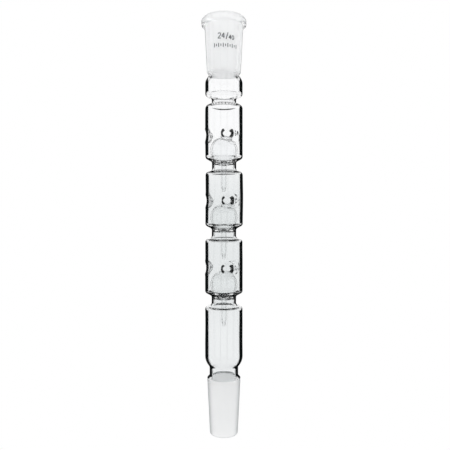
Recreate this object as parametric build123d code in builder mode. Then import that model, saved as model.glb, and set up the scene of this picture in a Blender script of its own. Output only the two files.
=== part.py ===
"""Three-ball distilling column in borosilicate glass, with a taper joint at each end.

Millimetres, +Z up. The origin is on the column's axis, at the gauge plane of the lower cone, which is
the wide end of its ground taper. From the bottom up the column is a ground cone, a plain lower barrel,
three chambers with a funnel seat under each, a plain head barrel and a ground socket. Each chamber holds
a hollow glass float, a ball with a thin stem that hangs through the seat, and three hollows pressed into
the chamber's wall stop the ball as it rises.
"""

from build123d import *
from math import asin, cos, degrees, radians, sin, sqrt, tan
import os

# Ground taper joints, 24 mm across the wide end and 40 mm long
JOINT_DIAMETER = 24.0
JOINT_LENGTH = 40.0
JOINT_TAPER = 0.1  # change of diameter for each millimetre of length

# Blown tube
TUBE_DIAMETER = 27.0
WALL = 1.6
NECK_DIAMETER = 17.6
LOWER_NECK_DIAMETER = 20.6
INDENT_WALL = 1.3

# Heights above the gauge plane of the lower cone
LOWER_LENGTH = 61.6  # up to the corner under the lowest chamber
CHAMBER_PITCH = 48.4  # from that corner to the next chamber's
HEAD_PITCH = 45.4  # from the top chamber's corner to the head barrel's
HEAD_LENGTH = 55.4  # from the head barrel's corner to the rim of the socket

# Shape of a barrel's two ends
NECK_RUN = 9.2  # from a floor's corner down to the next shoulder
HEAD_NECK_ABOVE = 1.6  # neck made with the head barrel, below its floor
HEAD_NECK_BELOW = 3.6  # neck made with the top chamber, above its shoulder
SHOULDER_DROP = 1.0
SHOULDER_ROUND = 2.6
NECK_ROUND = 2.2
FLOOR_ROUND = 2.2
HEAD_FLOOR_ROUND = 2.0
HEAD_FLOOR_ANGLE = 23.05  # of the head barrel's floor, below level

# Funnel seats
SEAT_ANGLE = 28.0  # of the funnel's slope, below level
SEAT_SKIRT = 2.6  # chamber wall made with the seat, above its corner
SEAT_COLLAR = 6.2  # neck made with the seat, below its corner
COLLAR_ROUND = 2.0
COLLAR_GROOVE_ROUND = 1.2  # inside, between the collar and the funnel's underside
LIP_ROUND = 0.65

# Hollow floats
BALL_DIAMETER = 19.5
BALL_WALL = 0.9
STEM_DIAMETER = 4.0
STEM_WALL = 0.6
STEM_LENGTH = 20.6  # below the ball
STEM_POINT = 4.4
STEM_POINT_DIAMETER = 1.8
STEM_ROOT = 1.4  # of the stem drawn from the ball itself
STEM_ROOT_ROUND = 1.5

# Pressed hollows that stop the floats, listed from the top chamber down
INDENT_WIDTH = 11.0
INDENT_DEPTH = 4.0
INDENT_ROUND = 1.2
INDENT_RISES = (16.2, 17.4, 17.8)  # above the corner of the chamber's floor
INDENT_ANGLES = (-78.0, 172.0, 47.0)  # about the column's axis, from +X

# Lower barrel's long shoulder, and the neck over the cone
LOWER_SHOULDER_TOP = 12.4
LOWER_SHOULDER_BOTTOM = 8.2
LOWER_SHOULDER_ROUND = 10.0
LOWER_NECK_ROUND = 2.6
LOWER_SEAL = 4.5
CONE_FLARE = 1.8
CONE_FLARE_ROUND = 0.9
CONE_WALL = 2.1
CONE_RUN_IN = 2.5
CONE_END_ROUND = 0.95

# Socket
SOCKET_WALL = 2.25
BEAD_DIAMETER = 32.5
BEAD_HEIGHT = 5.7
BEAD_ROUND = 2.4
BEAD_UNDER_ROUND = 1.6
BEAD_ROOT_ROUND = 0.5
MOUTH_ROUND = 0.6
SOCKET_RUN_OUT = 0.9
WAIST_DIAMETER = 22.4  # of the seal between the socket and the head barrel
WAIST_RUN_IN = 1.3
WAIST_ROUND = 0.7
HEAD_SHOULDER = 4.4  # length over which the waist widens to the barrel
HEAD_SHOULDER_ROUND = 6.0

# Clearances
SEAT_CLEARANCE = 0.2  # between a resting ball and its seat
STOP_CLEARANCE = 0.25  # between a risen ball and the hollows over it
STEM_CLEARANCE = 1.1  # round a stem in its seat

CHAMBERS = len(INDENT_RISES)
SLOPE = tan(radians(SEAT_ANGLE))
TUBE_RADIUS = TUBE_DIAMETER / 2
NECK_RADIUS = NECK_DIAMETER / 2
LOWER_NECK_RADIUS = LOWER_NECK_DIAMETER / 2
BALL_RADIUS = BALL_DIAMETER / 2
STEM_RADIUS = STEM_DIAMETER / 2
HOLE_RADIUS = STEM_RADIUS + STEM_CLEARANCE
BUMP_RADIUS = INDENT_DEPTH + INDENT_WALL
JOINT_RADIUS = JOINT_DIAMETER / 2
WAIST_RADIUS = WAIST_DIAMETER / 2
JOINT_END_RADIUS = (JOINT_DIAMETER - JOINT_TAPER * JOINT_LENGTH) / 2
HEAD_FLOOR = LOWER_LENGTH + (CHAMBERS - 1) * CHAMBER_PITCH + HEAD_PITCH
SOCKET_RIM = HEAD_FLOOR + HEAD_LENGTH
SOCKET_SEAL = SOCKET_RIM - JOINT_LENGTH - SOCKET_RUN_OUT
HEAD_FLOOR_DROP = (TUBE_RADIUS - NECK_RADIUS) * tan(radians(HEAD_FLOOR_ANGLE))
HEAD_SEAL = HEAD_FLOOR - HEAD_FLOOR_DROP - HEAD_NECK_ABOVE


def floor_height(number):
    """The corner under a chamber, counted from 1 at the top."""
    return LOWER_LENGTH + (CHAMBERS - number) * CHAMBER_PITCH


def ball_height(number):
    """The middle of a chamber's ball as it rests just clear of its seat."""
    funnel_tip = WALL / cos(radians(SEAT_ANGLE)) - TUBE_RADIUS * SLOPE
    return floor_height(number) + funnel_tip + (BALL_RADIUS + SEAT_CLEARANCE) / cos(radians(SEAT_ANGLE))


def indent_height(number):
    """The middle of a chamber's three pressed hollows."""
    return floor_height(number) + INDENT_RISES[number - 1]


def float_lift(number):
    """How far a float rises before its ball would come within the stop clearance of the hollows."""
    reach = BALL_RADIUS + STOP_CLEARANCE + BUMP_RADIUS
    below_indent = sqrt(reach**2 - TUBE_RADIUS**2)
    return indent_height(number) - below_indent - ball_height(number)


def turned(corners):
    """A solid turned about Z from a closed outline of (radius, height, corner radius)."""
    with BuildPart() as turning:
        with BuildSketch(Plane.XZ):
            with BuildLine():
                FilletPolyline(*[(r, z) for r, z, _ in corners], radius=[f for _, _, f in corners], close=True)
            make_face()
        revolve(axis=Axis.Z)
    return turning


def inside_line(corners):
    """The line one wall in from an outside line drawn downwards, its corners rounded to match."""
    points = [Vector(r, z) for r, z, _ in corners]
    runs = [(end - start).normalized() for start, end in zip(points, points[1:])]
    inner = []
    for index, (_, _, rounding) in enumerate(corners):
        before, after = runs[max(index - 1, 0)], runs[min(index, len(runs) - 1)]
        normals = Vector(before.Y, -before.X) + Vector(after.Y, -after.X)
        place = points[index] + normals * (WALL / (1 + before.dot(after)))
        turns_out = before.cross(after).Z > 0
        inner.append((place.X, place.Y, max(0, rounding + (WALL if turns_out else -WALL))))
    inner[0] = (*inner[0][:2], 0)
    inner[-1] = (*inner[-1][:2], 0)
    return inner


def blown(corners):
    """A tube of even wall turned about Z from its outside line, drawn downwards as in turned()."""
    return turned(corners + inside_line(corners)[::-1])


def shoulder(neck_floor, neck_run, seal):
    """The outside line of a barrel's top, from its seal in the neck under neck_floor to its side."""
    height = neck_floor - neck_run
    return [
        (NECK_RADIUS, seal, 0),
        (NECK_RADIUS, height, NECK_ROUND),
        (TUBE_RADIUS, height - SHOULDER_DROP, SHOULDER_ROUND),
    ]


def spheroid(radius, angle, height):
    """A rounded body, wider along the wall than it is tall, centred on the tube's outside."""
    half_width = radius + INDENT_WIDTH / 2 - INDENT_DEPTH
    middle = Vector(TUBE_RADIUS * cos(radians(angle)), TUBE_RADIUS * sin(radians(angle)), height)
    along_wall = Vector(-sin(radians(angle)), cos(radians(angle)), 0)
    with BuildPart() as body:
        with BuildSketch(Plane(middle, x_dir=along_wall, z_dir=(along_wall.Y, -along_wall.X, 0))):
            Ellipse(half_width, radius)
            Rectangle(2 * half_width, radius, align=(Align.CENTER, Align.MAX), mode=Mode.SUBTRACT)
        revolve(axis=Axis(middle, along_wall))
    return body.part


def make_chamber(number):
    """A chamber's wall, from its seat's skirt up to the neck over it, with its three pressed hollows."""
    if number == 1:
        top = shoulder(HEAD_SEAL, HEAD_NECK_BELOW, HEAD_SEAL)
    else:
        above = floor_height(number - 1)
        top = shoulder(above, NECK_RUN, above - SEAT_COLLAR)
    wall = blown(top + [(TUBE_RADIUS, floor_height(number) + SEAT_SKIRT, 0)])
    height = indent_height(number)
    with BuildPart() as chamber:
        add(wall.part)
        for angle in INDENT_ANGLES:
            add(spheroid(BUMP_RADIUS, angle, height))
        with BuildSketch(Plane.XY.offset(height - 2 * INDENT_WIDTH)):
            Circle(2 * TUBE_DIAMETER)
            Circle(TUBE_RADIUS, mode=Mode.SUBTRACT)
        extrude(amount=4 * INDENT_WIDTH, mode=Mode.SUBTRACT)
        for angle in INDENT_ANGLES:
            add(spheroid(INDENT_DEPTH, angle, height), mode=Mode.SUBTRACT)
        rims = chamber.edges().filter_by_position(Axis.Z, height - INDENT_DEPTH - 0.1, height + INDENT_DEPTH + 0.1)
        fillet(rims.filter_by(GeomType.BSPLINE), radius=INDENT_ROUND)
    return chamber


def make_seat(number):
    """A funnel seat with the skirt of the chamber over it and the collar of the neck under it."""
    floor = floor_height(number)

    def underside(radius):
        """The height of the funnel's underside at a radius."""
        return floor - (TUBE_RADIUS - radius) * SLOPE

    thickness = WALL / cos(radians(SEAT_ANGLE))
    inner_tube = TUBE_RADIUS - WALL
    inner_neck = NECK_RADIUS - WALL
    return turned(
        [
            (TUBE_RADIUS, floor + SEAT_SKIRT, 0),
            (TUBE_RADIUS, floor, FLOOR_ROUND),
            (NECK_RADIUS, underside(NECK_RADIUS), COLLAR_ROUND),
            (NECK_RADIUS, floor - SEAT_COLLAR, 0),
            (inner_neck, floor - SEAT_COLLAR, 0),
            (inner_neck, underside(inner_neck), COLLAR_GROOVE_ROUND),
            (HOLE_RADIUS, underside(HOLE_RADIUS), LIP_ROUND),
            (HOLE_RADIUS, underside(HOLE_RADIUS) + thickness, LIP_ROUND),
            (inner_tube, underside(inner_tube) + thickness, FLOOR_ROUND - WALL),
            (inner_tube, floor + SEAT_SKIRT, 0),
        ]
    )


def make_ball(number):
    """A hollow ball, open below into the root of its stem."""
    middle = ball_height(number)
    inner_radius = BALL_RADIUS - BALL_WALL
    bore = STEM_RADIUS - STEM_WALL
    root = middle - BALL_RADIUS - STEM_ROOT
    outer_end = degrees(asin(STEM_RADIUS / BALL_RADIUS))
    inner_end = degrees(asin(bore / inner_radius))
    with BuildPart() as ball:
        with BuildSketch(Plane.XZ) as section:
            with BuildLine():
                outside = CenterArc((0, middle), BALL_RADIUS, 90, outer_end - 180)
                inside = CenterArc((0, middle), inner_radius, 90, inner_end - 180)
                Polyline(outside @ 1, (STEM_RADIUS, root), (bore, root), inside @ 1)
                Line(inside @ 0, outside @ 0)
            make_face()
            crease = section.vertices().sort_by_distance(outside @ 1)[0]
            fillet(crease, radius=STEM_ROOT_ROUND)
        revolve(axis=Axis.Z)
    return ball


def make_stem(number):
    """A thin hollow stem under a ball, drawn to a closed point."""
    root = ball_height(number) - BALL_RADIUS - STEM_ROOT
    tip = ball_height(number) - BALL_RADIUS - STEM_LENGTH
    bore = STEM_RADIUS - STEM_WALL
    point = STEM_POINT_DIAMETER / 2
    return turned(
        [
            (STEM_RADIUS, root, 0),
            (STEM_RADIUS, tip + STEM_POINT, STEM_POINT),
            (point, tip, 0.8 * point),
            (0, tip, 0),
            (0, tip + 2 * STEM_WALL, 0),
            (bore, tip + STEM_POINT + STEM_WALL, STEM_POINT / 2),
            (bore, root, 0),
        ]
    )


# Ground socket with its beaded rim
body_top = SOCKET_RIM - BEAD_HEIGHT
socket_joint = turned(
    [
        (JOINT_RADIUS, SOCKET_RIM, MOUTH_ROUND),
        (BEAD_DIAMETER / 2, SOCKET_RIM, BEAD_ROUND),
        (BEAD_DIAMETER / 2, body_top, BEAD_UNDER_ROUND),
        (JOINT_RADIUS - JOINT_TAPER * BEAD_HEIGHT / 2 + SOCKET_WALL, body_top, BEAD_ROOT_ROUND),
        (JOINT_END_RADIUS + SOCKET_WALL, SOCKET_SEAL + SOCKET_RUN_OUT + WAIST_RUN_IN, WAIST_ROUND),
        (WAIST_RADIUS, SOCKET_SEAL + SOCKET_RUN_OUT, WAIST_ROUND),
        (WAIST_RADIUS, SOCKET_SEAL, 0),
        (WAIST_RADIUS - WALL, SOCKET_SEAL, 0),
        (JOINT_END_RADIUS, SOCKET_RIM - JOINT_LENGTH, 0),
    ]
)

# Plain barrel under the socket
head_barrel = blown(
    [
        (WAIST_RADIUS, SOCKET_SEAL, 0),
        (WAIST_RADIUS, SOCKET_SEAL - HEAD_SHOULDER / 6, WAIST_ROUND),
        (TUBE_RADIUS, SOCKET_SEAL - HEAD_SHOULDER, HEAD_SHOULDER_ROUND),
        (TUBE_RADIUS, HEAD_FLOOR, HEAD_FLOOR_ROUND),
        (NECK_RADIUS, HEAD_FLOOR - HEAD_FLOOR_DROP, NECK_ROUND),
        (NECK_RADIUS, HEAD_SEAL, 0),
    ]
)

# Plain barrel under the lowest chamber, with its long lower shoulder
lowest_floor = floor_height(CHAMBERS)
lower_barrel = blown(
    shoulder(lowest_floor, NECK_RUN, lowest_floor - SEAT_COLLAR)
    + [
        (TUBE_RADIUS, LOWER_SHOULDER_TOP, LOWER_SHOULDER_ROUND),
        (LOWER_NECK_RADIUS, LOWER_SHOULDER_BOTTOM, LOWER_NECK_ROUND),
        (LOWER_NECK_RADIUS, LOWER_SEAL, 0),
    ]
)

# Ground cone, with the neck over it
cone_joint = turned(
    [
        (LOWER_NECK_RADIUS, LOWER_SEAL, 0),
        (LOWER_NECK_RADIUS, CONE_FLARE, CONE_FLARE_ROUND),
        (JOINT_RADIUS, 0, 0),
        (JOINT_END_RADIUS, -JOINT_LENGTH, CONE_END_ROUND),
        (JOINT_END_RADIUS - CONE_WALL, -JOINT_LENGTH, CONE_END_ROUND),
        (JOINT_RADIUS - CONE_WALL, -CONE_RUN_IN, CONE_RUN_IN),
        (LOWER_NECK_RADIUS - WALL, CONE_FLARE, CONE_FLARE_ROUND),
        (LOWER_NECK_RADIUS - WALL, LOWER_SEAL, 0),
    ]
)

nodes = {
    "socket_joint": socket_joint,
    "head_barrel": head_barrel,
    "lower_barrel": lower_barrel,
    "cone_joint": cone_joint,
}
for number in range(1, CHAMBERS + 1):
    nodes[f"chamber_{number}"] = make_chamber(number)
    nodes[f"seat_{number}"] = make_seat(number)
    nodes[f"float_ball_{number}"] = make_ball(number)
    nodes[f"float_stem_{number}"] = make_stem(number)
    print(f"float {number}: rests at {ball_height(number):.3f}, lifts {float_lift(number):.3f}")

os.makedirs("parts", exist_ok=True)
for name, piece in nodes.items():
    piece.part.label = name
    export_step(piece.part, f"parts/{name}.step")
print(f"overall {SOCKET_RIM + JOINT_LENGTH:.1f} long, {BEAD_DIAMETER:.1f} across")
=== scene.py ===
"""A three-ball distilling column in clear borosilicate glass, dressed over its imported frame.

Each glass piece is one closed mesh turned from its own outline, with exact shading normals, because
glass shows every facet. Pressed hollows and the slight waves of hand-blown tube move the turned walls in
and out. Lengths are in millimetres until a mesh is made, +Z up, from the lower cone's gauge plane.
"""

import logging
import math
from collections.abc import Callable, Mapping, Sequence
from dataclasses import dataclass, field
from enum import Enum

import bpy
import numpy as np
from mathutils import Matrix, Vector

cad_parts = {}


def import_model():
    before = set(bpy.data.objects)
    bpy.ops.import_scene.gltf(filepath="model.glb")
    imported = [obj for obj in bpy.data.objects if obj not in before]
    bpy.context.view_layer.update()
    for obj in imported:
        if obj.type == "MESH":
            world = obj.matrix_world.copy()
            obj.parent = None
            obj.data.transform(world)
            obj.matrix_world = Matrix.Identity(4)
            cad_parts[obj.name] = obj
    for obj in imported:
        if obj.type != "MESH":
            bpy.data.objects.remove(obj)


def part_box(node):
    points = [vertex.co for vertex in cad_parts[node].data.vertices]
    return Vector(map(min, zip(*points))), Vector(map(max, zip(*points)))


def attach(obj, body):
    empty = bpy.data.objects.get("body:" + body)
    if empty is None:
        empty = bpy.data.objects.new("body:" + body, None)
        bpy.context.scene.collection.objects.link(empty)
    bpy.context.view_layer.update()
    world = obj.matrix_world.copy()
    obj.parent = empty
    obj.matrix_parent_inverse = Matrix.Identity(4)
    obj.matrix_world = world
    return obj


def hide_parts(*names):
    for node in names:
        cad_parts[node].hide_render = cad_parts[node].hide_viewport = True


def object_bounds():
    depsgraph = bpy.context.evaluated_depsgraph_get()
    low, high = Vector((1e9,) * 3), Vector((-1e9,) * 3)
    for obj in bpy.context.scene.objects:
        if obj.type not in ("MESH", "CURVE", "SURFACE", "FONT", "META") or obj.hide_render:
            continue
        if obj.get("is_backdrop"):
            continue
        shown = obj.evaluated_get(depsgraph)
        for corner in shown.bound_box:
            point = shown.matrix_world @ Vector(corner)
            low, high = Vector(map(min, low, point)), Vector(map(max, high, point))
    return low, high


LOG = logging.getLogger("column")
MM = 0.001
COLUMN = "column"

Colour = tuple[float, float, float]
Relief = Callable[[np.ndarray, np.ndarray, bool], np.ndarray]
Stroke = list[tuple[float, float]]
Vertices = list[tuple[float, float, float]]
Faces = list[tuple[int, ...]]


# ---------------------------------------------------------------- shader helpers


class Value:
    """A number on a shader socket. Arithmetic on it adds Math nodes to its graph."""

    def __init__(self, graph: "Graph", socket: bpy.types.NodeSocket) -> None:
        """Keeps the socket and the graph that it belongs to."""
        self.graph = graph
        self.socket = socket

    def maths(self, operation: str, *others: "Value | float", swapped: bool = False) -> "Value":
        """Adds one Math node.

        Args:
            operation: The Math node's operation.
            others: The other operands.
            swapped: Puts this value second instead of first.

        Returns:
            The node's result.
        """
        operands = [*others, self] if swapped else [self, *others]
        return self.graph.value("ShaderNodeMath", {"operation": operation}, dict(enumerate(operands)))

    def __add__(self, other: "Value | float") -> "Value":
        """This plus other."""
        return self.maths("ADD", other)

    def __radd__(self, other: float) -> "Value":
        """Other plus this."""
        return self.maths("ADD", other, swapped=True)

    def __sub__(self, other: "Value | float") -> "Value":
        """This less other."""
        return self.maths("SUBTRACT", other)

    def __rsub__(self, other: float) -> "Value":
        """Other less this."""
        return self.maths("SUBTRACT", other, swapped=True)

    def __mul__(self, other: "Value | float") -> "Value":
        """This times other."""
        return self.maths("MULTIPLY", other)

    def __rmul__(self, other: float) -> "Value":
        """Other times this."""
        return self.maths("MULTIPLY", other, swapped=True)

    def __truediv__(self, other: "Value | float") -> "Value":
        """This over other."""
        return self.maths("DIVIDE", other)

    def __abs__(self) -> "Value":
        """This without its sign."""
        return self.maths("ABSOLUTE")

    def rising(self, start: float, end: float) -> "Value":
        """A smooth step from 0 at start to 1 at end.

        Args:
            start: Where the step begins. It may be above end, for a falling step.
            end: Where it is complete.

        Returns:
            The step's height.
        """
        low, high = min(start, end), max(start, end)
        step = self.graph.value(
            "ShaderNodeMapRange",
            {"interpolation_type": "SMOOTHSTEP"},
            {"Value": self, "From Min": low, "From Max": high},
        )
        return step if start < end else 1 - step


class Graph:
    """The node tree of one material or of the world."""

    def __init__(self, tree: bpy.types.NodeTree) -> None:
        """Empties the tree and keeps it."""
        tree.nodes.clear()
        self.tree = tree

    def node(
        self,
        kind: str,
        settings: Mapping[str, object] | None = None,
        inputs: Mapping[str | int, object] | None = None,
    ) -> bpy.types.Node:
        """Adds a node.

        Args:
            kind: The node's type.
            settings: Its properties, set before its sockets.
            inputs: A value or a link for each named or numbered socket.

        Returns:
            The node.
        """
        node = self.tree.nodes.new(kind)
        for name, setting in (settings or {}).items():
            setattr(node, name, setting)
        for key, given in (inputs or {}).items():
            source = given.socket if isinstance(given, Value) else given
            if isinstance(source, bpy.types.NodeSocket):
                self.tree.links.new(source, node.inputs[key])
            else:
                node.inputs[key].default_value = source
        return node

    def value(
        self,
        kind: str,
        settings: Mapping[str, object],
        inputs: Mapping[str | int, object],
        output: str | int = 0,
    ) -> Value:
        """Adds a node and returns one of its outputs as a number."""
        return Value(self, self.node(kind, settings, inputs).outputs[output])

    def colour_mix(
        self, factor: Value, first: Sequence[float], second: Sequence[float]
    ) -> bpy.types.NodeSocket:
        """Mixes two colours.

        Args:
            factor: 0 for the first, 1 for the second.
            first: Red, green and blue.
            second: Red, green and blue.

        Returns:
            The mixed colour's socket.
        """
        inputs = {0: factor, 6: (*first, 1.0), 7: (*second, 1.0)}
        return self.node("ShaderNodeMix", {"data_type": "RGBA"}, inputs).outputs[2]

    def place(self) -> bpy.types.NodeSocket:
        """The shaded point's place on its object."""
        return self.node("ShaderNodeTexCoord").outputs["Object"]

    def part(self, vector: bpy.types.NodeSocket, axis: str) -> Value:
        """One part, X, Y or Z, of a vector."""
        return self.value("ShaderNodeSeparateXYZ", {}, {0: vector}, axis)

    def noise(self, scale: float, stretch: tuple[float, float, float], detail: float = 3.0) -> Value:
        """Noise over the object.

        Args:
            scale: Its fineness, per metre.
            stretch: How much each axis counts.
            detail: Octaves of finer noise.

        Returns:
            The noise, from 0 to 1.
        """
        mapping = self.node("ShaderNodeMapping", {}, {"Vector": self.place(), "Scale": stretch})
        inputs = {"Vector": mapping.outputs[0], "Scale": scale, "Detail": detail}
        return self.value("ShaderNodeTexNoise", {}, inputs)

    def bump(self, height: Value, strength: float, distance: float) -> bpy.types.NodeSocket:
        """A normal pushed about by a height, over a distance in metres."""
        inputs = {"Height": height, "Strength": strength, "Distance": distance}
        return self.node("ShaderNodeBump", {}, inputs).outputs[0]

    def shader_mix(
        self, factor: Value | float, first: bpy.types.Node, second: bpy.types.Node
    ) -> bpy.types.Node:
        """Mixes two shaders, 0 for the first and 1 for the second."""
        return self.node("ShaderNodeMixShader", {}, {0: factor, 1: first.outputs[0], 2: second.outputs[0]})

    def output(self, shader: bpy.types.Node, kind: str = "ShaderNodeOutputMaterial") -> None:
        """Makes a shader the tree's surface."""
        self.node(kind, {}, {"Surface": shader.outputs[0]})


def new_material(name: str) -> tuple[bpy.types.Material, Graph]:
    """Makes an empty material.

    Args:
        name: Its name.

    Returns:
        The material and its graph.
    """
    material = bpy.data.materials.new(name)
    material.use_nodes = True
    return material, Graph(material.node_tree)


# ---------------------------------------------------------------- finishes


class Surface(Enum):
    """Which of a piece's finishes a stretch of its outline takes."""

    OUTSIDE = 0
    BORE = 1
    GROUND = 2
    SEAL = 3
    SLOPE = 4
    INSIDE_SLOPE = 5


@dataclass(frozen=True)
class ClearGlass:
    """Fire-polished borosilicate glass, with a painted dark outline where a wall is seen edge-on.

    Attributes:
        name: The material's name.
        head: Tint at the top of the column.
        foot: Tint at its foot, greyer than at the head: the glass's own slight colour with painted shade.
        outline: How dark the painted shade along the outline goes, from 0 to 1.
        upright: The facing value at which an upright wall starts to go dark.
        slant: How much later a level surface starts.
        width: How soon the dark is complete.
        striae: Height of the faint lengthwise drawing lines, in metres.
        bend: Index of refraction.
        painted_outline_top: Height above which there is no painted dark outline, in metres.
        painted_hollow_shade: How dark the painted shade on the steep sides of the pressed hollows goes, from
            0 to 1.
    """

    name: str
    head: Colour = (0.985, 0.988, 0.992)
    foot: Colour = (0.888, 0.901, 0.904)
    outline: float = 1.0
    upright: float = 0.42
    slant: float = 0.58
    width: float = 0.07
    striae: float = 0.000004
    bend: float = 1.33
    painted_outline_top: float = 0.2155
    painted_hollow_shade: float = 0.0

    def make(self) -> bpy.types.Material:
        """Builds the material.

        Returns:
            The material.
        """
        material, graph = new_material(self.name)
        height = graph.part(graph.place(), "Z")
        # Painted shade on the glass's own slight colour: greyer below 0.18 m, and a little lighter again
        # below 0.06 m.
        painted_shade_below = height.rising(0.18, 0.12) * (1 - height.rising(0.06, 0.03) * 0.3)
        tint_and_painted_shade = graph.colour_mix(painted_shade_below, self.head, self.foot)
        drawn = graph.noise(260.0, (1.0, 1.0, 0.06))
        glass = graph.node(
            "ShaderNodeBsdfPrincipled",
            {},
            {
                "Base Color": tint_and_painted_shade,
                "Roughness": 0.0,
                "IOR": self.bend,
                "Transmission Weight": 1.0,
                "Normal": graph.bump(drawn, 0.35, self.striae),
            },
        )
        if self.outline == 0:
            graph.output(glass)
            return material
        # Painted shade: a dark shader is mixed in where the wall turns edge-on. It stands in for the dark
        # surroundings that the glass bends into view.
        facing = graph.value("ShaderNodeLayerWeight", {}, {"Blend": 0.5}, "Facing")
        normal = graph.node("ShaderNodeNewGeometry").outputs["Normal"]
        level = abs(graph.part(normal, "Z"))
        edge = (facing - (self.upright + self.slant * level)) / self.width
        below_top = height.rising(self.painted_outline_top + 0.002, self.painted_outline_top)
        painted_shade_share = edge.rising(0.0, 1.0) * below_top * self.outline
        # Painted shade on the steep sides of the pressed hollows, on the print's side only.
        if self.painted_hollow_shade > 0:
            painted_shade_share = painted_shade_share.maths("MAXIMUM", self._hollow_shade_mask(graph, normal) * self.painted_hollow_shade)
        dark = graph.node(
            "ShaderNodeBsdfPrincipled",
            {},
            {"Base Color": (0.003, 0.004, 0.004, 1.0), "Roughness": 0.4, "Specular IOR Level": 0.0},
        )
        graph.output(graph.shader_mix(painted_shade_share, glass, dark))
        return material

    def _hollow_shade_mask(self, graph: Graph, normal: bpy.types.NodeSocket) -> Value:
        """Where painted shade goes on the steep left or right side of a pressed hollow, from 0 to 1.

        Args:
            graph: The material's graph.
            normal: The surface's direction.

        Returns:
            0 on every turned surface, which never faces round the axis, and on the far side.
        """
        east, north = graph.part(graph.place(), "X"), graph.part(graph.place(), "Y")
        reach = (east * east + north * north).maths("SQRT")
        ahead, aside = graph.part(normal, "X"), graph.part(normal, "Y")
        round_axis = abs((aside * east - ahead * north) / reach)
        steep = 1 - (ahead * east + aside * north) / reach
        return steep.rising(0.31, 0.37) * round_axis.rising(0.3, 0.45) * north.rising(0.0, -0.004)


@dataclass(frozen=True)
class GroundGlass:
    """Glass ground to a matt white taper with fine grit, with painted shade where it turns away.

    Attributes:
        name: The material's name.
        body: Colour of the matt surface face on.
        rim: Its colour where it turns away, darker: painted shade.
        cover: Share of the light that the matt surface scatters.
        rim_shade_start: The facing value at which the painted rim shade sets in.
    """

    name: str
    body: Colour = (0.985, 0.988, 0.99)
    rim: Colour = (0.6, 0.62, 0.625)
    cover: float = 0.82
    rim_shade_start: float = 0.25

    def make(self) -> bpy.types.Material:
        """Builds the material.

        Returns:
            The material.
        """
        material, graph = new_material(self.name)
        grit = graph.noise(5200.0, (1.0, 1.0, 1.0), 2.0)
        turned = graph.noise(420.0, (0.25, 0.25, 3.0))
        facing = graph.value("ShaderNodeLayerWeight", {}, {"Blend": 0.5}, "Facing")
        # Painted shade: the matt white goes grey where the surface turns away from the view.
        colour = graph.colour_mix(facing.rising(self.rim_shade_start, 0.9), self.body, self.rim)
        rough = graph.bump(grit + turned * 0.5, 0.3, 0.00003)
        matt = graph.node(
            "ShaderNodeBsdfPrincipled",
            {},
            {"Base Color": colour, "Roughness": 0.75, "Specular IOR Level": 0.25, "Normal": rough},
        )
        glow = graph.node("ShaderNodeBsdfTranslucent", {}, {"Color": colour, "Normal": rough})
        clear = graph.node(
            "ShaderNodeBsdfPrincipled",
            {},
            {
                "Base Color": (0.97, 0.975, 0.98, 1.0),
                "Roughness": 0.38,
                "IOR": 1.47,
                "Transmission Weight": 1.0,
                "Normal": rough,
            },
        )
        white = graph.shader_mix(0.5, matt, glow)
        cover = self.cover + (turned - 0.5) * 0.18 + (grit - 0.5) * 0.12
        graph.output(graph.shader_mix(cover, clear, white))
        return material


@dataclass(frozen=True)
class FusedSeal:
    """The place inside the glass where two pieces are fused, which light passes straight through.

    Attributes:
        name: The material's name.
    """

    name: str

    def make(self) -> bpy.types.Material:
        """Builds the material.

        Returns:
            The material.
        """
        material, graph = new_material(self.name)
        graph.output(graph.node("ShaderNodeBsdfTransparent"))
        return material


@dataclass(frozen=True)
class FiredEnamel:
    """Grey ceramic print fired on to the glass, thin and a little worn.

    Attributes:
        name: The material's name.
        full: Colour where the print is thick.
        worn: Colour where it is rubbed.
    """

    name: str
    full: Colour = (0.015, 0.02, 0.024)
    worn: Colour = (0.12, 0.13, 0.135)

    def make(self) -> bpy.types.Material:
        """Builds the material.

        Returns:
            The material.
        """
        material, graph = new_material(self.name)
        wear = graph.noise(900.0, (1.0, 1.0, 1.0)).rising(0.35, 0.75)
        speck = graph.noise(4000.0, (1.0, 1.0, 1.0))
        print_shader = graph.node(
            "ShaderNodeBsdfPrincipled",
            {},
            {
                "Base Color": graph.colour_mix(wear, self.full, self.worn),
                "Roughness": 0.45 + speck * 0.2,
                "Normal": graph.bump(speck, 0.4, 0.00002),
            },
        )
        graph.output(print_shader)
        return material


# ---------------------------------------------------------------- outlines


@dataclass(frozen=True)
class Corner:
    """A corner of a turned outline.

    Attributes:
        radius: Distance from the axis.
        height: Height above the gauge plane.
        rounding: Radius that rounds the corner.
        surface: Finish from this corner to the next.
        step: Longest facet from this corner to the next.
    """

    radius: float
    height: float
    rounding: float = 0.0
    surface: Surface = Surface.OUTSIDE
    step: float = 2.5


@dataclass(frozen=True)
class Run:
    """A smooth stretch of an outline.

    Attributes:
        points: Radius and height of each point.
        normals: The outward direction at each point.
        surface: The finish over it.
    """

    points: np.ndarray
    normals: np.ndarray
    surface: Surface


def straight(start: np.ndarray, end: np.ndarray, surface: Surface, step: float) -> Run:
    """A straight run, whose outward side is on the left of the way from start to end.

    Args:
        start: Its first point.
        end: Its last point.
        surface: The surface that it makes.
        step: The longest stretch between two of its points.

    Returns:
        The run.
    """
    way = end - start
    length = float(np.hypot(*way))
    count = max(1, math.ceil(length / step))
    share = np.linspace(0, 1, count + 1)[:, None]
    normal = np.array([-way[1], way[0]]) / length
    return Run(start + share * way, np.repeat(normal[None], count + 1, axis=0), surface)


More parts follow.
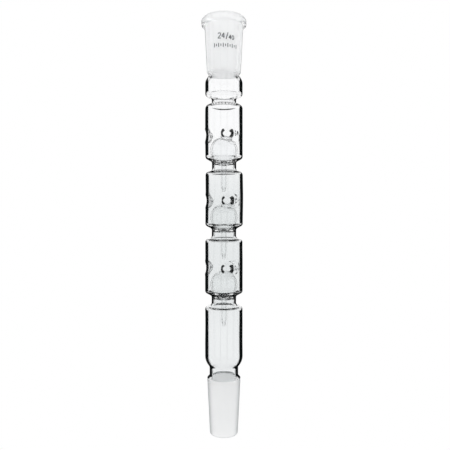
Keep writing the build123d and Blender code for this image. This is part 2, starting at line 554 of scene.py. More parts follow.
def bend(
    centre: Sequence[float], radius: float, start: float, end: float, surface: Surface, convex: bool
) -> Run:
    """An arc.

    Args:
        centre: Radius and height of its centre.
        radius: Its own radius.
        start: Angle of its first point about the centre, in radians.
        end: Angle of its last point.
        surface: The finish over it.
        convex: Whether outward is away from the centre.

    Returns:
        The run, in facets of at most four degrees.
    """
    count = max(2, math.ceil(abs(end - start) / math.radians(4)))
    angles = np.linspace(start, end, count + 1)
    rays = np.stack([np.cos(angles), np.sin(angles)], axis=1)
    return Run(np.asarray(centre) + radius * rays, rays if convex else -rays, surface)


def closed_outline(corners: Sequence[Corner]) -> list[Run]:
    """Rounds the corners of a closed outline, drawn down the outside and up the bore.

    Args:
        corners: The corners in order.

    Returns:
        The runs and arcs in order.
    """
    points = [np.array([c.radius, c.height]) for c in corners]
    count = len(points)
    ways = [(points[(i + 1) % count] - points[i]) for i in range(count)]
    ways = [way / np.hypot(*way) for way in ways]
    turns, cuts = [], []
    for index, corner in enumerate(corners):
        before, after = ways[index - 1], ways[index]
        turn = math.atan2(before[0] * after[1] - before[1] * after[0], float(before @ after))
        turns.append(turn)
        cuts.append(corner.rounding * abs(math.tan(turn / 2)))
    runs: list[Run] = []
    for index, corner in enumerate(corners):
        before, turn = ways[index - 1], turns[index]
        if cuts[index] > 1e-6:
            side = 1.0 if turn > 0 else -1.0
            normal = np.array([-before[1], before[0]])
            start = points[index] - before * cuts[index]
            centre = start + side * corner.rounding * normal
            first = math.atan2(*(start - centre)[::-1])
            runs.append(bend(centre, corner.rounding, first, first + turn, corner.surface, side < 0))
        following = (index + 1) % count
        start = points[index] + ways[index] * cuts[index]
        end = points[following] - ways[index] * cuts[following]
        if np.hypot(*(end - start)) > 1e-4:
            runs.append(straight(start, end, corner.surface, corner.step))
    return runs


def bore_line(outside: Sequence[Corner], wall: float) -> list[Corner]:
    """The corners one wall in from an outside line that is drawn downwards, given upwards.

    Args:
        outside: The outside line.
        wall: The wall between the two.

    Returns:
        The bore's corners, from the bottom up.
    """
    points = [np.array([c.radius, c.height]) for c in outside]
    ways = [(end - start) / np.hypot(*(end - start)) for start, end in zip(points, points[1:])]
    inner = []
    for index, corner in enumerate(outside):
        before, after = ways[max(index - 1, 0)], ways[min(index, len(ways) - 1)]
        inward = np.array([before[1], -before[0]]) + np.array([after[1], -after[0]])
        place = points[index] + inward * (wall / (1 + float(before @ after)))
        opens = before[0] * after[1] - before[1] * after[0] > 0
        rounding = max(0.0, corner.rounding + (wall if opens else -wall))
        if index in (0, len(outside) - 1):
            rounding = 0.0
        step = outside[max(index - 1, 0)].step
        inner.append(Corner(float(place[0]), float(place[1]), rounding, Surface.BORE, step))
    return inner[::-1]


def blown_outline(outside: Sequence[Corner], wall: float) -> list[Run]:
    """A tube of even wall, open at both ends where it is fused to the next piece.

    Args:
        outside: The outside line, drawn downwards.
        wall: The wall.

    Returns:
        The closed outline.
    """
    lowest = outside[-1]
    bore = bore_line(outside, wall)
    foot = Corner(lowest.radius, lowest.height, 0.0, Surface.SEAL, wall)
    top = Corner(bore[-1].radius, bore[-1].height, 0.0, Surface.SEAL, wall)
    return closed_outline([*outside[:-1], foot, *bore[:-1], top])


# ---------------------------------------------------------------- relief


@dataclass(frozen=True)
class Waves:
    """The slight waves of tube that is blown and worked by hand, outside and bore each with their own.

    Attributes:
        height: Height of a wave.
        low: Heights between which the waves set in above the cone.
        high: Heights between which they die out below the socket.
        waves: Waves round the tube, their twist and their phase, each with its weight.
    """

    height: float = 0.045
    low: tuple[float, float] = (8.0, 18.0)
    high: tuple[float, float] = (202.0, 214.0)
    waves: tuple[tuple[int, float, float, float], ...] = (
        (2, 0.11, 0.4, 1.0),
        (3, -0.16, 2.1, 0.6),
        (1, 0.27, 4.0, 0.5),
        (5, 0.07, 1.2, 0.3),
    )

    def offset(self, theta: np.ndarray, height: np.ndarray, outside: bool) -> np.ndarray:
        """How far the surface is moved out.

        Args:
            theta: Angle about the axis, in radians.
            height: Height above the gauge plane.
            outside: Whether it is the outside or the bore.

        Returns:
            The offset.
        """
        total = np.zeros(np.broadcast(theta, height).shape)
        for count, twist, phase, weight in self.waves:
            total += weight * np.sin(count * theta + twist * height + phase + (0.0 if outside else 1.7))
        start = np.clip((height - self.low[0]) / (self.low[1] - self.low[0]), 0, 1)
        end = np.clip((self.high[1] - height) / (self.high[1] - self.high[0]), 0, 1)
        return self.height * total * (start * end) ** 2


@dataclass(frozen=True)
class Hollow:
    """A hollow pressed into a tube's soft wall from outside, with the low lip that it raises.

    Attributes:
        angle: Where it is about the axis, in degrees.
        height: Height of its middle.
        radius: The tube's outside radius.
        depth: How deep it is outside.
        half_width: Half its width along the wall.
        half_height: Half its height.
        lip: Height of the lip round it.
        spread: How much wider and taller it is in the bore.
        thinning: How much shallower it is in the bore.
        steepness: How upright its sides are.
    """

    angle: float
    height: float
    radius: float
    depth: float = 4.0
    half_width: float = 4.7
    half_height: float = 3.3
    lip: float = 0.3
    spread: float = 0.4
    thinning: float = 0.3
    steepness: float = 4.0

    def offset(self, theta: np.ndarray, height: np.ndarray, outside: bool) -> np.ndarray:
        """How far the surface is moved out.

        Args:
            theta: Angle about the axis, in radians.
            height: Height above the gauge plane.
            outside: Whether it is the outside or the bore.

        Returns:
            The offset.
        """
        spread, thinning = (0.0, 0.0) if outside else (self.spread, self.thinning)
        turn = (theta - math.radians(self.angle) + np.pi) % (2 * np.pi) - np.pi
        across = turn * self.radius / (self.half_width + spread)
        reach = np.hypot(across, (height - self.height) / (self.half_height + spread))
        pressed = (self.depth - thinning) * np.exp(-(reach**self.steepness))
        raised = (self.lip if outside else 0.0) * np.exp(-(((reach - 1.5) / 0.25) ** 2))
        return raised - pressed


def together(reliefs: Sequence[Relief]) -> Relief:
    """One relief that is the sum of several.

    Args:
        reliefs: The reliefs to add.

    Returns:
        Their sum.
    """

    def total(theta: np.ndarray, height: np.ndarray, outside: bool) -> np.ndarray:
        """The sum of their offsets."""
        return sum(relief(theta, height, outside) for relief in reliefs)

    return total


@dataclass(frozen=True)
class Wander:
    """How far the column's axis leans to one side, as hand-sealed glass does.

    Attributes:
        reach: The furthest it goes along +X.
        middle: Height where it is furthest.
        spread: Height over which it comes back.
    """

    reach: float = 0.35
    middle: float = 134.0
    spread: float = 20.0

    def at(self, height: np.ndarray) -> np.ndarray:
        """The axis's place along +X at a height."""
        return self.reach * np.exp(-(((height - self.middle) / self.spread) ** 2))


# ---------------------------------------------------------------- lathe


@dataclass(frozen=True)
class Lathe:
    """Turns closed outlines into meshes whose shading normals follow the true surface.

    Attributes:
        segments: Facets round the axis.
        wander: How the axis leans, or None for a straight one.
    """

    segments: int = 160
    wander: Wander | None = field(default_factory=Wander)

    def turn(
        self,
        name: str,
        runs: Sequence[Run],
        finishes: Sequence[bpy.types.Material],
        relief: Relief | None = None,
    ) -> bpy.types.Object:
        """Turns a closed outline.

        Args:
            name: The piece's name.
            runs: The outline.
            finishes: A material for each Surface, in order.
            relief: What moves its walls in and out.

        Returns:
            The piece, in metres.
        """
        theta = np.arange(self.segments) * (2 * np.pi / self.segments)
        rings = [
            self._ring(run, index, theta, relief) for run in runs for index in range(len(run.points) - 1)
        ]
        first = np.cumsum([0] + [len(ring) for ring in rings])
        vertices = np.concatenate(rings)
        faces: Faces = []
        normals: list[np.ndarray] = []
        finish_of: list[int] = []
        ring = 0
        for run in runs:
            shading = [self._normals(run, index, theta, relief) for index in range(len(run.points))]
            for index in range(len(run.points) - 1):
                after = (ring + 1) % len(rings)
                low, high = (first[ring], len(rings[ring])), (first[after], len(rings[after]))
                made, lit = self._band(*low, *high, shading[index], shading[index + 1])
                faces += made
                normals.append(lit)
                finish_of += [run.surface.value] * len(made)
                ring += 1
        mesh = bpy.data.meshes.new(name)
        mesh.from_pydata((vertices * MM).tolist(), [], faces)
        mesh.polygons.foreach_set("material_index", finish_of)
        mesh.polygons.foreach_set("use_smooth", [True] * len(faces))
        for finish in finishes:
            mesh.materials.append(finish)
        mesh.update()
        mesh.normals_split_custom_set(np.concatenate(normals).tolist())
        piece = bpy.data.objects.new(name, mesh)
        bpy.context.scene.collection.objects.link(piece)
        return piece

    def _moved(
        self, run: Run, index: int, theta: np.ndarray, lift: float, relief: Relief | None
    ) -> np.ndarray:
        """The radius of a run's point round the axis.

        Args:
            run: The run.
            index: Which of its points.
            theta: Angles about the axis, in radians.
            lift: How far over the point the relief is read.
            relief: What moves the wall in and out.

        Returns:
            A radius for each angle.
        """
        radius, height = run.points[index]
        if relief is None or run.surface is Surface.GROUND:
            return np.full(theta.shape, radius)
        outside = run.surface in (Surface.OUTSIDE, Surface.SLOPE)
        if run.surface is Surface.SEAL:
            is_outer = abs(radius - run.points[:, 0].max()) < 1e-6
            return radius + relief(theta, height, bool(is_outer))
        return radius + relief(theta, np.asarray(height + lift), outside)

    def _ring(self, run: Run, index: int, theta: np.ndarray, relief: Relief | None) -> np.ndarray:
        """The points round the axis at a run's point, or the one point on the axis.

        Args:
            run: The run.
            index: Which of its points.
            theta: Angles about the axis, in radians.
            relief: What moves the wall in and out.

        Returns:
            The points, one a row.
        """
        height = run.points[index][1]
        lean = float(self.wander.at(height)) if self.wander else 0.0
        if run.points[index][0] < 1e-6:
            return np.array([[lean, 0.0, height]])
        radius = self._moved(run, index, theta, 0.0, relief)
        level = np.full(theta.shape, height)
        return np.stack([radius * np.cos(theta) + lean, radius * np.sin(theta), level], axis=1)

    def _normals(self, run: Run, index: int, theta: np.ndarray, relief: Relief | None) -> np.ndarray:
        """The outward directions round the axis at a run's point.

        Args:
            run: The run.
            index: Which of its points.
            theta: Angles about the axis, in radians.
            relief: What moves the wall in and out.

        Returns:
            Unit directions, one a row.
        """
        out, up = run.normals[index]
        along, across = np.full(theta.shape, up), np.zeros(theta.shape)
        radius = max(run.points[index][0], 0.1)
        if relief is not None and run.surface not in (Surface.GROUND, Surface.SEAL):
            small = 1e-3
            rise = self._moved(run, index, theta, small, relief)
            rise = rise - self._moved(run, index, theta, -small, relief)
            swing = self._moved(run, index, theta + small, 0.0, relief)
            swing = swing - self._moved(run, index, theta - small, 0.0, relief)
            along = up - out * rise / (2 * small)
            across = -out * swing / (2 * small) / radius
        cos, sin = np.cos(theta), np.sin(theta)
        lit = np.stack([out * cos - across * sin, out * sin + across * cos, along], axis=1)
        return lit / np.linalg.norm(lit, axis=1, keepdims=True)

    def _band(
        self, low: int, low_count: int, high: int, high_count: int, start: np.ndarray, end: np.ndarray
    ) -> tuple[Faces, np.ndarray]:
        """The faces between two rings.

        Args:
            low: First vertex of the ring that the outline meets first.
            low_count: How many vertices it has, 1 on the axis.
            high: First vertex of the other ring.
            high_count: How many it has.
            start: Normals round the first ring.
            end: Normals round the other.

        Returns:
            The faces, and a normal for each of their corners.
        """
        if low_count == 1 and high_count == 1:
            return [], np.zeros((0, 3))
        here = np.arange(self.segments)
        there = (here + 1) % self.segments
        if low_count == 1:
            faces = np.stack([np.full(self.segments, low), high + here, high + there], axis=1)
            lit = np.stack([start[here], end[here], end[there]], axis=1)
        elif high_count == 1:
            faces = np.stack([low + here, np.full(self.segments, high), low + there], axis=1)
            lit = np.stack([start[here], end[here], start[there]], axis=1)
        else:
            faces = np.stack([low + here, high + here, high + there, low + there], axis=1)
            lit = np.stack([start[here], end[here], end[there], start[there]], axis=1)
        return [tuple(face) for face in faces.tolist()], lit.reshape(-1, 3)


# ---------------------------------------------------------------- the column's glass


@dataclass(frozen=True)
class Tube:
    """Sizes that the blown pieces share.

    Attributes:
        radius: Outside radius of barrels and chambers.
        wall: Wall of the blown tube.
        neck: Outside radius of the necks between them.
        shoulder_drop: How far a shoulder slopes from its neck to its side.
        shoulder_round: Rounding of a shoulder's edge.
        neck_round: Rounding where a shoulder meets its neck.
    """

    radius: float = 13.5
    wall: float = 1.6
    neck: float = 8.8
    shoulder_drop: float = 1.0
    shoulder_round: float = 2.6
    neck_round: float = 2.2

    def shoulder(self, top: float, corner: float) -> list[Corner]:
        """The outside line from a seal in a neck down to the top of a barrel's side.

        Args:
            top: Height of the seal.
            corner: Height where the neck meets the shoulder.

        Returns:
            The corners, the last of them the shoulder's edge.
        """
        return [
            Corner(self.neck, top),
            Corner(self.neck, corner, self.neck_round, step=1.0),
            Corner(self.radius, corner - self.shoulder_drop, self.shoulder_round),
        ]


def box_heights(node: str) -> tuple[float, float]:
    """The lowest and highest level of a CAD node, in millimetres."""
    low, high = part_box(node)
    return low.z / MM, high.z / MM


@dataclass
class GlassPiece:
    """A piece of the column that stands for one CAD node.

    Attributes:
        node: The CAD node.
        tube: Sizes that it shares with its neighbours.
        lathe: What turns it.
        finishes: A material for each Surface.
        relief: The waves in its walls.
    """

    node: str
    tube: Tube
    lathe: Lathe
    finishes: Sequence[bpy.types.Material]
    relief: Relief | None = None

    def outline(self) -> list[Run]:
        """The piece's closed outline."""
        raise NotImplementedError

    def build(self, body: str, slot: str) -> bpy.types.Object:
        """Turns the piece and puts it on its body.

        Args:
            body: The CAD body that it rides on.
            slot: The record's material slot. Not used.

        Returns:
            The piece.
        """
        piece = self.lathe.turn(f"{self.node}_glass", self.outline(), self.finishes, self.relief)
        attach(piece, body)
        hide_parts(self.node)
        LOG.info("%s: %d faces", piece.name, len(piece.data.polygons))
        return piece


@dataclass
class GroundSocket(GlassPiece):
    """The ground socket with its beaded rim and the waist where it is sealed on.

    Attributes:
        rim_radius: Bore radius at the rim, which is the taper's wide end.
        end_radius: Bore radius at the bottom of the taper.
        length: Ground length.
        wall: Wall outside the taper.
        bead_radius: Outside radius of the bead.
        bead_height: Height of the bead.
        waist: Outside radius of the seal's waist.
    """

    rim_radius: float = 12.0
    end_radius: float = 10.0
    length: float = 40.0
    wall: float = 2.25
    bead_radius: float = 16.25
    bead_height: float = 5.7
    waist: float = 11.2

    def __post_init__(self) -> None:
        """Finds the height of the rim."""
        self.rim = box_heights(self.node)[1]

    def outside_at(self, height: float) -> float:
        """Outside radius of the taper at a height.

        Args:
            height: Height above the gauge plane.

        Returns:
            The radius.
        """
        foot, root = self.end_radius + self.wall, 13.965
        share = (height - (self.rim - self.length)) / (self.length - self.bead_height)
        return foot + (root - foot) * share

    def outline(self) -> list[Run]:
        """The outside with its bead, and the ground bore.

        Returns:
            The runs in order.
        """
        seal, rim = box_heights(self.node)
        ground_end = rim - self.length
        under = rim - self.bead_height
        return closed_outline(
            [
                Corner(self.rim_radius, rim, 0.7),
                Corner(self.bead_radius, rim, 2.4),
                Corner(self.bead_radius, under, 1.7),
                Corner(self.outside_at(under), under, 0.6),
                Corner(self.end_radius + self.wall, ground_end + 1.3, 0.8),
                Corner(self.waist, ground_end, 0.7),
                Corner(self.waist, seal, 0.0, Surface.SEAL),
                Corner(self.waist - self.tube.wall, seal, 0.0, Surface.BORE),
                Corner(self.end_radius, ground_end, 0.3, Surface.GROUND, 2.0),
            ]
        )


@dataclass
class HeadBarrel(GlassPiece):
    """The plain barrel under the socket.

    Attributes:
        waist: Outside radius at the socket's seal.
        widening: Length over which it widens to the full tube.
        floor_drop: How far its floor slopes to the neck.
        floor: Height of the floor's corner above the neck's seal.
    """

    waist: float = 11.2
    widening: float = 4.4
    floor_drop: float = 2.0
    floor: float = 3.6

    def outline(self) -> list[Run]:
        """The dome under the socket, the side, and the floor down to the neck.

        Returns:
            The runs in order.
        """
        seal, top = box_heights(self.node)
        floor = seal + self.floor
        outside = [
            Corner(self.waist, top, step=1.0),
            Corner(self.waist, top - self.widening / 6, 0.7, step=0.6),
            Corner(self.tube.radius, top - self.widening, 6.0),
            Corner(self.tube.radius, floor, 2.0, step=1.0),
            Corner(self.tube.neck, floor - self.floor_drop, self.tube.neck_round),
            Corner(self.tube.neck, seal),
        ]
        return blown_outline(outside, self.tube.wall)


@dataclass
class Chamber(GlassPiece):
    """A chamber's wall, from its seat's skirt up to the neck over it, with three pressed hollows.

    Attributes:
        hollow_rise: Height of the hollows above the bottom of the wall.
        neck_run: Length of neck above the shoulder that is made with the chamber.
        angles: Where the hollows are about the axis, in degrees.
        steepness: How upright each hollow's sides are.
    """

    hollow_rise: float = 14.0
    neck_run: float = 3.0
    angles: tuple[float, float, float] = (-78.0, 172.0, 47.0)
    steepness: tuple[float, float, float] = (4.0, 3.0, 4.0)

    def __post_init__(self) -> None:
        """Adds the hollows to the waves in the wall."""
        level = box_heights(self.node)[0] + self.hollow_rise
        hollows = [
            Hollow(angle, level, self.tube.radius, steepness=steepness).offset
            for angle, steepness in zip(self.angles, self.steepness)
        ]
        self.relief = together([self.relief, *hollows])

    def outline(self) -> list[Run]:
        """The neck, the shoulder and the side.

        Returns:
            The runs in order.
        """
        bottom, top = box_heights(self.node)
        level = bottom + self.hollow_rise
        corners = self.tube.shoulder(top, top - self.neck_run)
        edge = corners[-1]
        zone_top, zone_foot = level + 9.5, level - 9.5
        outside = [
            *corners[:-1],
            Corner(edge.radius, edge.height, edge.rounding, step=1.5),
            Corner(edge.radius, zone_top, step=0.42),
            Corner(edge.radius, zone_foot, step=1.5),
            Corner(edge.radius, bottom),
        ]
        return blown_outline(outside, self.tube.wall)


@dataclass
class FunnelSeat(GlassPiece):
    """A funnel seat with the skirt of the chamber above it and the collar of the neck below it.

    Attributes:
        skirt: Height of the skirt above the funnel's corner.
        slope: The funnel's slope below level, in degrees.
        hole: Radius of the hole that the stem hangs through.
        floor_round: Rounding of the funnel's corner.
    """

    skirt: float = 2.6
    slope: float = 28.0
    hole: float = 3.1
    floor_round: float = 2.2

    def outline(self) -> list[Run]:
        """The skirt, the funnel and the collar.

        Returns:
            The runs in order.
        """
        low, high = box_heights(self.node)
        floor = high - self.skirt
        fall = math.tan(math.radians(self.slope))
        thick = self.tube.wall / math.cos(math.radians(self.slope))
        radius, neck, wall = self.tube.radius, self.tube.neck, self.tube.wall

        def underside(at: float) -> float:
            """Height of the funnel's underside at a radius."""
            return floor - (radius - at) * fall

        return closed_outline(
            [
                Corner(radius, high),
                Corner(radius, floor, self.floor_round, Surface.SLOPE, step=0.5),
                Corner(neck, underside(neck), 2.0),
                Corner(neck, low, 0.0, Surface.SEAL),
                Corner(neck - wall, low, 0.0, Surface.BORE),
                Corner(neck - wall, underside(neck - wall), 1.2, Surface.SLOPE, 0.5),
                Corner(self.hole, underside(self.hole), 0.65, Surface.BORE),
                Corner(self.hole, underside(self.hole) + thick, 0.65, Surface.INSIDE_SLOPE, 0.5),
                Corner(radius - wall, underside(radius - wall) + thick, 0.6, Surface.BORE),
                Corner(radius - wall, high, 0.0, Surface.SEAL),
            ]
        )


@dataclass
class LowerBarrel(GlassPiece):
    """The plain barrel under the lowest chamber, with its long lower shoulder.

    Attributes:
        neck_run: Length of neck above its shoulder.
        shoulder_top: Height where the lower shoulder starts.
        shoulder_foot: Height where it meets the lower neck.
        lower_neck: Outside radius of the lower neck.
    """

    neck_run: float = 3.0
    shoulder_top: float = 12.4
    shoulder_foot: float = 8.2
    lower_neck: float = 10.3

    def outline(self) -> list[Run]:
        """The neck, the side, and the long shoulder down to the lower neck.

        Returns:
            The runs in order.
        """
        seal, top = box_heights(self.node)
        outside = [
            *self.tube.shoulder(top, top - self.neck_run),
            Corner(self.tube.radius, self.shoulder_top, 10.0, Surface.SLOPE, 1.0),
            Corner(self.lower_neck, self.shoulder_foot, 2.6, Surface.SLOPE, 1.0),
            Corner(self.lower_neck, seal),
        ]
        return blown_outline(outside, self.tube.wall)


@dataclass
class GroundCone(GlassPiece):
    """The ground cone with the neck over it.

    Attributes:
        lower_neck: Outside radius of the neck.
        flare: Height where the neck flares to the cone.
        wide: Radius of the cone's wide end.
        narrow: Radius of its narrow end.
        wall: Wall inside the cone.
        run_in: Length below the gauge plane over which the bore comes in.
    """

    lower_neck: float = 10.3
    flare: float = 1.8
    wide: float = 12.0
    narrow: float = 10.0
    wall: float = 2.1
    run_in: float = 2.5

    def outline(self) -> list[Run]:
        """The neck, the ground taper and the clear bore.

        Returns:
            The runs in order.
        """
        foot, seal = box_heights(self.node)
        return closed_outline(
            [
                Corner(self.lower_neck, seal),
                Corner(self.lower_neck, self.flare, 0.9, step=0.6),
                Corner(self.wide, 0.0, 0.4, Surface.GROUND, 2.0),
                Corner(self.narrow, foot, 0.95, Surface.GROUND),
                Corner(self.narrow - self.wall, foot, 0.95, Surface.BORE),
                Corner(self.wide - self.wall, -self.run_in, 2.5, Surface.BORE, 1.0),
                Corner(self.lower_neck - self.tube.wall, self.flare, 0.9, Surface.BORE),
                Corner(self.lower_neck - self.tube.wall, seal, 0.0, Surface.SEAL),
            ]
        )


@dataclass
class FloatBall(GlassPiece):
    """A hollow ball, open below into the root of its stem.

    Attributes:
        radius: Outside radius.
        wall: Wall of the ball.
        stem: Outside radius of the stem.
        stem_wall: Wall of the stem.
        crease: Rounding where the stem leaves the ball.
    """

    radius: float = 9.75
    wall: float = 0.9
    stem: float = 2.0
    stem_wall: float = 0.6
    crease: float = 1.5

    def outline(self) -> list[Run]:
        """The ball's outside down to the stem, and its bore up to the top again.

        Returns:
            The runs in order.
        """
        root, top = box_heights(self.node)
        middle = top - self.radius
        reach = self.radius + self.crease
        leaves = math.acos((self.stem + self.crease) / reach)
        crease_middle = (self.stem + self.crease, middle - reach * math.sin(leaves))
        inner, bore = self.radius - self.wall, self.stem - self.stem_wall
        enters = math.acos(bore / inner)
        inner_foot = np.array([bore, middle - inner * math.sin(enters)])
        stem_top = np.array([self.stem, crease_middle[1]])
        stem_foot, bore_foot = np.array([self.stem, root]), np.array([bore, root])
        top_outside, top_bore = np.array([0.0, top]), np.array([0.0, top - self.wall])
        return [
            bend((0.0, middle), self.radius, math.pi / 2, -leaves, Surface.OUTSIDE, True),
            bend(crease_middle, self.crease, math.pi - leaves, math.pi, Surface.OUTSIDE, False),
            straight(stem_top, stem_foot, Surface.OUTSIDE, 1.0),
            straight(stem_foot, bore_foot, Surface.SEAL, 1.0),
            straight(bore_foot, inner_foot, Surface.BORE, 1.0),
            bend((0.0, middle), inner, -enters, math.pi / 2, Surface.BORE, False),
            straight(top_bore, top_outside, Surface.SEAL, 9.0),
        ]


@dataclass
class FloatStem(GlassPiece):
    """A thin hollow stem drawn to a closed point.

    Attributes:
        radius: Outside radius.
        wall: Its wall.
        taper: Length of the drawn point.
        point: Radius of the point.
    """

    radius: float = 2.0
    wall: float = 0.6
    taper: float = 4.4
    point: float = 0.9

    def outline(self) -> list[Run]:
        """The outside down to the point, and the bore up from it.

        Returns:
            The runs in order.
        """
        tip, root = box_heights(self.node)
        bore = self.radius - self.wall
        corners = [
            Corner(self.radius, root),
            Corner(self.radius, tip + self.taper, 4.4, step=0.5),
            Corner(self.point, tip, 0.72),
            Corner(0.0, tip, 0.0, Surface.SEAL),
            Corner(0.0, tip + 2 * self.wall, 0.0, Surface.BORE, 0.5),
            Corner(bore, tip + self.taper + self.wall, 2.2, Surface.BORE),
            Corner(bore, root, 0.0, Surface.SEAL),
        ]
        return closed_outline(corners)


# ---------------------------------------------------------------- the print


@dataclass(frozen=True)
class PrintedSize:
    """The joint's size printed on the socket, over a row of plain ticks.

    Attributes:
        socket: The socket that it is printed on.
        level: Height of the middle of the numerals.
        ticks_level: Height of the middle of the ticks.
        centre: How far the print's middle is along +X from the side that faces -Y.
        stroke: Width of a stroke.
        lift: Thickness of the print.
    """

    socket: GroundSocket
    level: float = 242.3
    ticks_level: float = 235.9
    centre: float = 1.2
    stroke: float = 0.56
    lift: float = 0.05

    def numerals(self) -> list[Stroke]:
        """The numerals 24/40.

        Returns:
            Their strokes, as lines of points from the print's middle.
        """

        def arc(x: float, y: float, wide: float, tall: float, start: float, end: float) -> Stroke:
            """Points along part of an ellipse, between two angles in degrees."""
            angles = np.radians(np.linspace(start, end, 15))
            return [(x + wide * math.cos(a), y + tall * math.sin(a)) for a in angles]

        two = [*arc(-4.45, 0.85, 0.95, 0.95, 165, -35), (-5.4, -1.75), (-3.3, -1.75)]
        four = [[(-0.75, -0.55), (-2.75, -0.55), (-1.2, 1.8), (-1.2, -1.75)]]
        bar = [(0.35, -2.3), (1.75, 2.3)]
        small_four = [[(4.05, -1.15), (2.35, -1.15), (3.65, 0.75), (3.65, -2.1)]]
        nought = arc(5.4, -0.7, 0.75, 1.35, 90, 450)
        return [two, *four, bar, *small_four, nought]

    def ticks(self) -> list[Stroke]:
        """A row of plain upright ticks, long and short by turns.

        Returns:
            Their strokes.
        """
        count = 11
        offset = self.ticks_level - self.level
        marks = []
        for index in range(count):
            across = (index - (count - 1) / 2) * 1.62
            tall = 1.35 if index % 2 == 0 else 0.8
            marks.append([(across, offset - tall), (across, offset + tall)])
        return marks

    def place(self, across: float, up: float, lift: float) -> tuple[float, float, float]:
        """Where a point of the print is on the socket, in metres.

        Args:
            across: Distance round the socket from the print's middle.
            up: Height from the numerals' middle, before the print's slight fall to the right.
            lift: Distance out from the glass.

        Returns:
            The point.
        """
        height = self.level + up - 0.035 * across
        radius = self.socket.outside_at(height) + lift
        theta = -math.pi / 2 + (self.centre + across) / radius
        return radius * math.cos(theta) * MM, radius * math.sin(theta) * MM, height * MM

    def ribbon(self, line: Stroke) -> tuple[Vertices, Faces]:
        """A closed strip along a stroke.

        Args:
            line: The stroke's points.

        Returns:
            Its vertices and faces.
        """
        points = [np.array(point) for point in line]
        fine = [points[0]]
        for start, end in zip(points, points[1:]):
            count = max(1, math.ceil(float(np.hypot(*(end - start))) / 0.4))
            fine += [start + (end - start) * share for share in np.linspace(0, 1, count + 1)[1:]]
        vertices: Vertices = []
        for index, point in enumerate(fine):
            way = fine[min(index + 1, len(fine) - 1)] - fine[max(index - 1, 0)]
            side = np.array([-way[1], way[0]]) / np.hypot(*way) * self.stroke / 2
            left, right = point + side, point - side
            for corner, lift in ((left, 0.008), (right, 0.008), (right, self.lift), (left, self.lift)):
                vertices.append(self.place(float(corner[0]), float(corner[1]), lift))
        faces: Faces = [(0, 1, 2, 3)]
        for index in range(len(fine) - 1):
            low = 4 * index
            for edge in range(4):
                after = (edge + 1) % 4
                faces.append((low + 4 + edge, low + 4 + after, low + after, low + edge))
        last = 4 * (len(fine) - 1)
        faces.append((last + 3, last + 2, last + 1, last))
        return vertices, faces

    def build(self, name: str, strokes: Sequence[Stroke], finish: bpy.types.Material) -> None:
        """Prints some strokes on the socket.

        Args:
            name: The piece's name.
            strokes: The lines to print.
            finish: The print's material.
        """
        vertices: Vertices = []
        faces: Faces = []
        for line in strokes:
            made, sides = self.ribbon(line)
            faces += [tuple(len(vertices) + corner for corner in side) for side in sides]
            vertices += made
        mesh = bpy.data.meshes.new(name)
        mesh.from_pydata(vertices, [], faces)
        mesh.materials.append(finish)
        mesh.update()
        piece = bpy.data.objects.new(name, mesh)
        bpy.context.scene.collection.objects.link(piece)
        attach(piece, COLUMN)
        LOG.info("%s: %d strokes", name, len(strokes))


# ---------------------------------------------------------------- studio


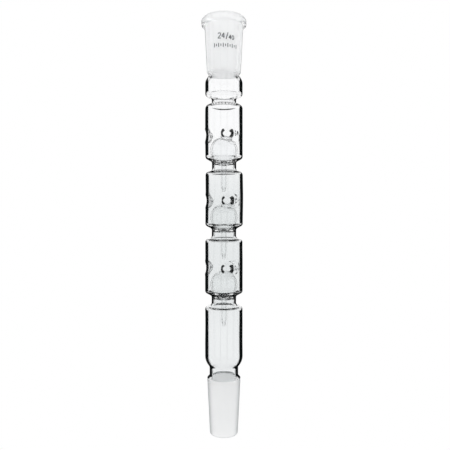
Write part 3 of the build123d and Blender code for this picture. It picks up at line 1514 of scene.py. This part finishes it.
@dataclass(frozen=True)
class Studio:
    """A white light tent of eight panels with narrow gaps, a white floor and the camera.

    Attributes:
        panel_edge: Cosine of eight times the angle at which a panel gives way to a gap.
        lowest: Sines of the heights between which the tent's light sets in, below.
        highest: Sines of the heights between which it ends, above.
        distance: From the camera to the column's axis, in metres.
        eye: Height of the camera, in metres.
        aside: How far it is along +X, in metres.
        lens: Focal length, in millimetres.
    """

    panel_edge: tuple[float, float] = (-0.97, -0.72)
    lowest: tuple[float, float] = (-0.80, -0.66)
    highest: tuple[float, float] = (0.66, 0.54)
    distance: float = 0.362
    eye: float = 0.1102
    aside: float = 0.0008
    lens: float = 40.0

    def light(self) -> None:
        """Lights the world: white behind the column, panels and gaps in what the glass bends and mirrors."""
        world = bpy.data.worlds.new("light_tent")
        world.use_nodes = True
        bpy.context.scene.world = world
        graph = Graph(world.node_tree)
        ray = graph.node("ShaderNodeTexCoord").outputs["Generated"]
        east, north, up = (graph.part(ray, axis) for axis in "XYZ")
        gaps = (east.maths("ARCTAN2", north) * 8).maths("COSINE").rising(*self.panel_edge)
        tent = gaps * up.rising(*self.lowest) * up.rising(*self.highest) + up.rising(0.75, 0.95) * 0.5
        path = graph.node("ShaderNodeLightPath")
        scattered = Value(graph, path.outputs["Diffuse Depth"]).maths("GREATER_THAN", 0.5)
        plain = Value(graph, path.outputs["Is Camera Ray"]).maths("MAXIMUM", scattered)
        shade = graph.colour_mix(tent, (0.004, 0.005, 0.006), (1.0, 1.0, 1.0))
        white = (1.0, 1.0, 1.0, 1.0)
        mixed = graph.node("ShaderNodeMix", {"data_type": "RGBA"}, {0: plain, 6: shade, 7: white})
        strength = 1 + scattered * 0.8
        background = graph.node("ShaderNodeBackground", {}, {"Color": mixed.outputs[2], "Strength": strength})
        graph.output(background, "ShaderNodeOutputWorld")

    def floor(self, level: float) -> None:
        """Lays a white floor.

        Args:
            level: Its height, in metres.
        """
        count, reach = 96, 3.0
        angles = [2 * math.pi * index / count for index in range(count)]
        mesh = bpy.data.meshes.new("floor")
        rim = [(reach * math.cos(a), reach * math.sin(a), level) for a in angles]
        mesh.from_pydata(rim, [], [tuple(range(count))])
        material, graph = new_material("white_floor")
        graph.output(graph.node("ShaderNodeEmission", {}, {"Color": (1.0, 1.0, 1.0, 1.0), "Strength": 1.0}))
        mesh.materials.append(material)
        floor = bpy.data.objects.new("floor", mesh)
        bpy.context.scene.collection.objects.link(floor)
        floor.visible_transmission = False
        floor.visible_glossy = False
        floor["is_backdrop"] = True

    def camera(self) -> None:
        """Sets up the camera, level and facing along +Y."""
        camera = bpy.data.cameras.new("camera")
        camera.lens = self.lens
        camera.sensor_width = 36.0
        camera.clip_start = 0.01
        stand = bpy.data.objects.new("camera", camera)
        stand.location = (self.aside, -self.distance, self.eye)
        stand.rotation_euler = (math.pi / 2, 0.0, 0.0)
        bpy.context.scene.collection.objects.link(stand)
        bpy.context.scene.camera = stand

    def paths(self) -> None:
        """Lets light pass through as many walls as the column has, and shows white as white."""
        scene = bpy.context.scene
        scene.view_settings.view_transform = "Standard"
        scene.cycles.max_bounces = 32
        scene.cycles.transmission_bounces = 28
        scene.cycles.glossy_bounces = 8
        scene.cycles.transparent_max_bounces = 32


# ---------------------------------------------------------------- assembly


@dataclass
class Column:
    """The whole column: fused glass, floats and print.

    Attributes:
        hollow_rises: Height of each chamber's hollows above the bottom of its wall, from the top down.
        tube: Shared sizes.
    """

    hollow_rises: tuple[float, float, float] = (13.6, 14.8, 15.2)
    tube: Tube = field(default_factory=Tube)

    def build(self) -> None:
        """Builds every piece, from the socket down, then the floats and the print."""
        # The outer clear glass carries painted dark outlines, and painted shade on the sides of the pressed
        # hollows.
        clear = ClearGlass("clear_glass", painted_hollow_shade=0.95).make()
        low = ClearGlass("lower_glass", slant=0.15).make()
        bore = ClearGlass("clear_glass_bore", outline=0.0).make()
        plain = ClearGlass(
            "clear_glass_joint", outline=0.5, upright=0.7, slant=0.0, width=0.25, painted_outline_top=1.0
        ).make()
        pale = (0.975, 0.98, 0.98)
        ball = ClearGlass("float_glass", foot=pale, outline=0.4, upright=0.74, slant=0.0, width=0.2).make()
        ball_bore = ClearGlass("float_bore", foot=pale, outline=0.0).make()
        seal = FusedSeal("fused_seal").make()
        socket_ground = GroundGlass("ground_socket").make()
        # The cone's painted rim shade is darker and sets in later.
        cone_ground = GroundGlass("ground_cone", rim=(0.45, 0.47, 0.475), cover=0.88, rim_shade_start=0.28).make()
        waves = Waves().offset
        column, straight_lathe = Lathe(), Lathe(wander=None)
        funnel = ClearGlass("funnel_glass", upright=0.6, slant=0.0, bend=1.2).make()
        thin = ClearGlass("seat_glass", slant=0.25, bend=1.2).make()
        thin_bore = ClearGlass("seat_bore", bend=1.2, outline=0.0).make()
        blown = (clear, bore, socket_ground, seal)
        seat = (thin, thin_bore, socket_ground, seal, funnel, funnel)

        socket = GroundSocket("socket_joint", self.tube, column, (plain, bore, socket_ground, seal))
        socket.build(COLUMN, "ground_glass")
        HeadBarrel("head_barrel", self.tube, column, blown, waves).build(COLUMN, "clear_glass")
        for number, rise in enumerate(self.hollow_rises, start=1):
            Chamber(f"chamber_{number}", self.tube, column, blown, waves, rise).build(COLUMN, "clear_glass")
            FunnelSeat(f"seat_{number}", self.tube, column, seat, waves).build(COLUMN, "clear_glass")
            body = f"float_{number}"
            floats = (ball, ball_bore, socket_ground, seal)
            FloatBall(f"float_ball_{number}", self.tube, straight_lathe, floats).build(body, "float_glass")
            FloatStem(f"float_stem_{number}", self.tube, straight_lathe, floats).build(body, "float_glass")
        lower = LowerBarrel("lower_barrel", self.tube, column, (clear, bore, socket_ground, seal, low), waves)
        lower.build(COLUMN, "clear_glass")
        cone = GroundCone("cone_joint", self.tube, column, (low, bore, cone_ground, seal))
        cone.build(COLUMN, "ground_glass")

        enamel = FiredEnamel("fired_enamel").make()
        printed = PrintedSize(socket)
        printed.build("size_numerals", printed.numerals(), enamel)
        printed.build("size_ticks", printed.ticks(), enamel)


def main() -> None:
    """Loads the frame, dresses the column and sets up the studio."""
    logging.basicConfig(level=logging.INFO, format="%(name)s: %(message)s")
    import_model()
    packed = [list(corner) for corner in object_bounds()]
    Column().build()
    studio = Studio()
    studio.light()
    studio.floor(packed[0][2] - 0.0002)
    studio.camera()
    studio.paths()


if __name__ == "__main__":
    main()
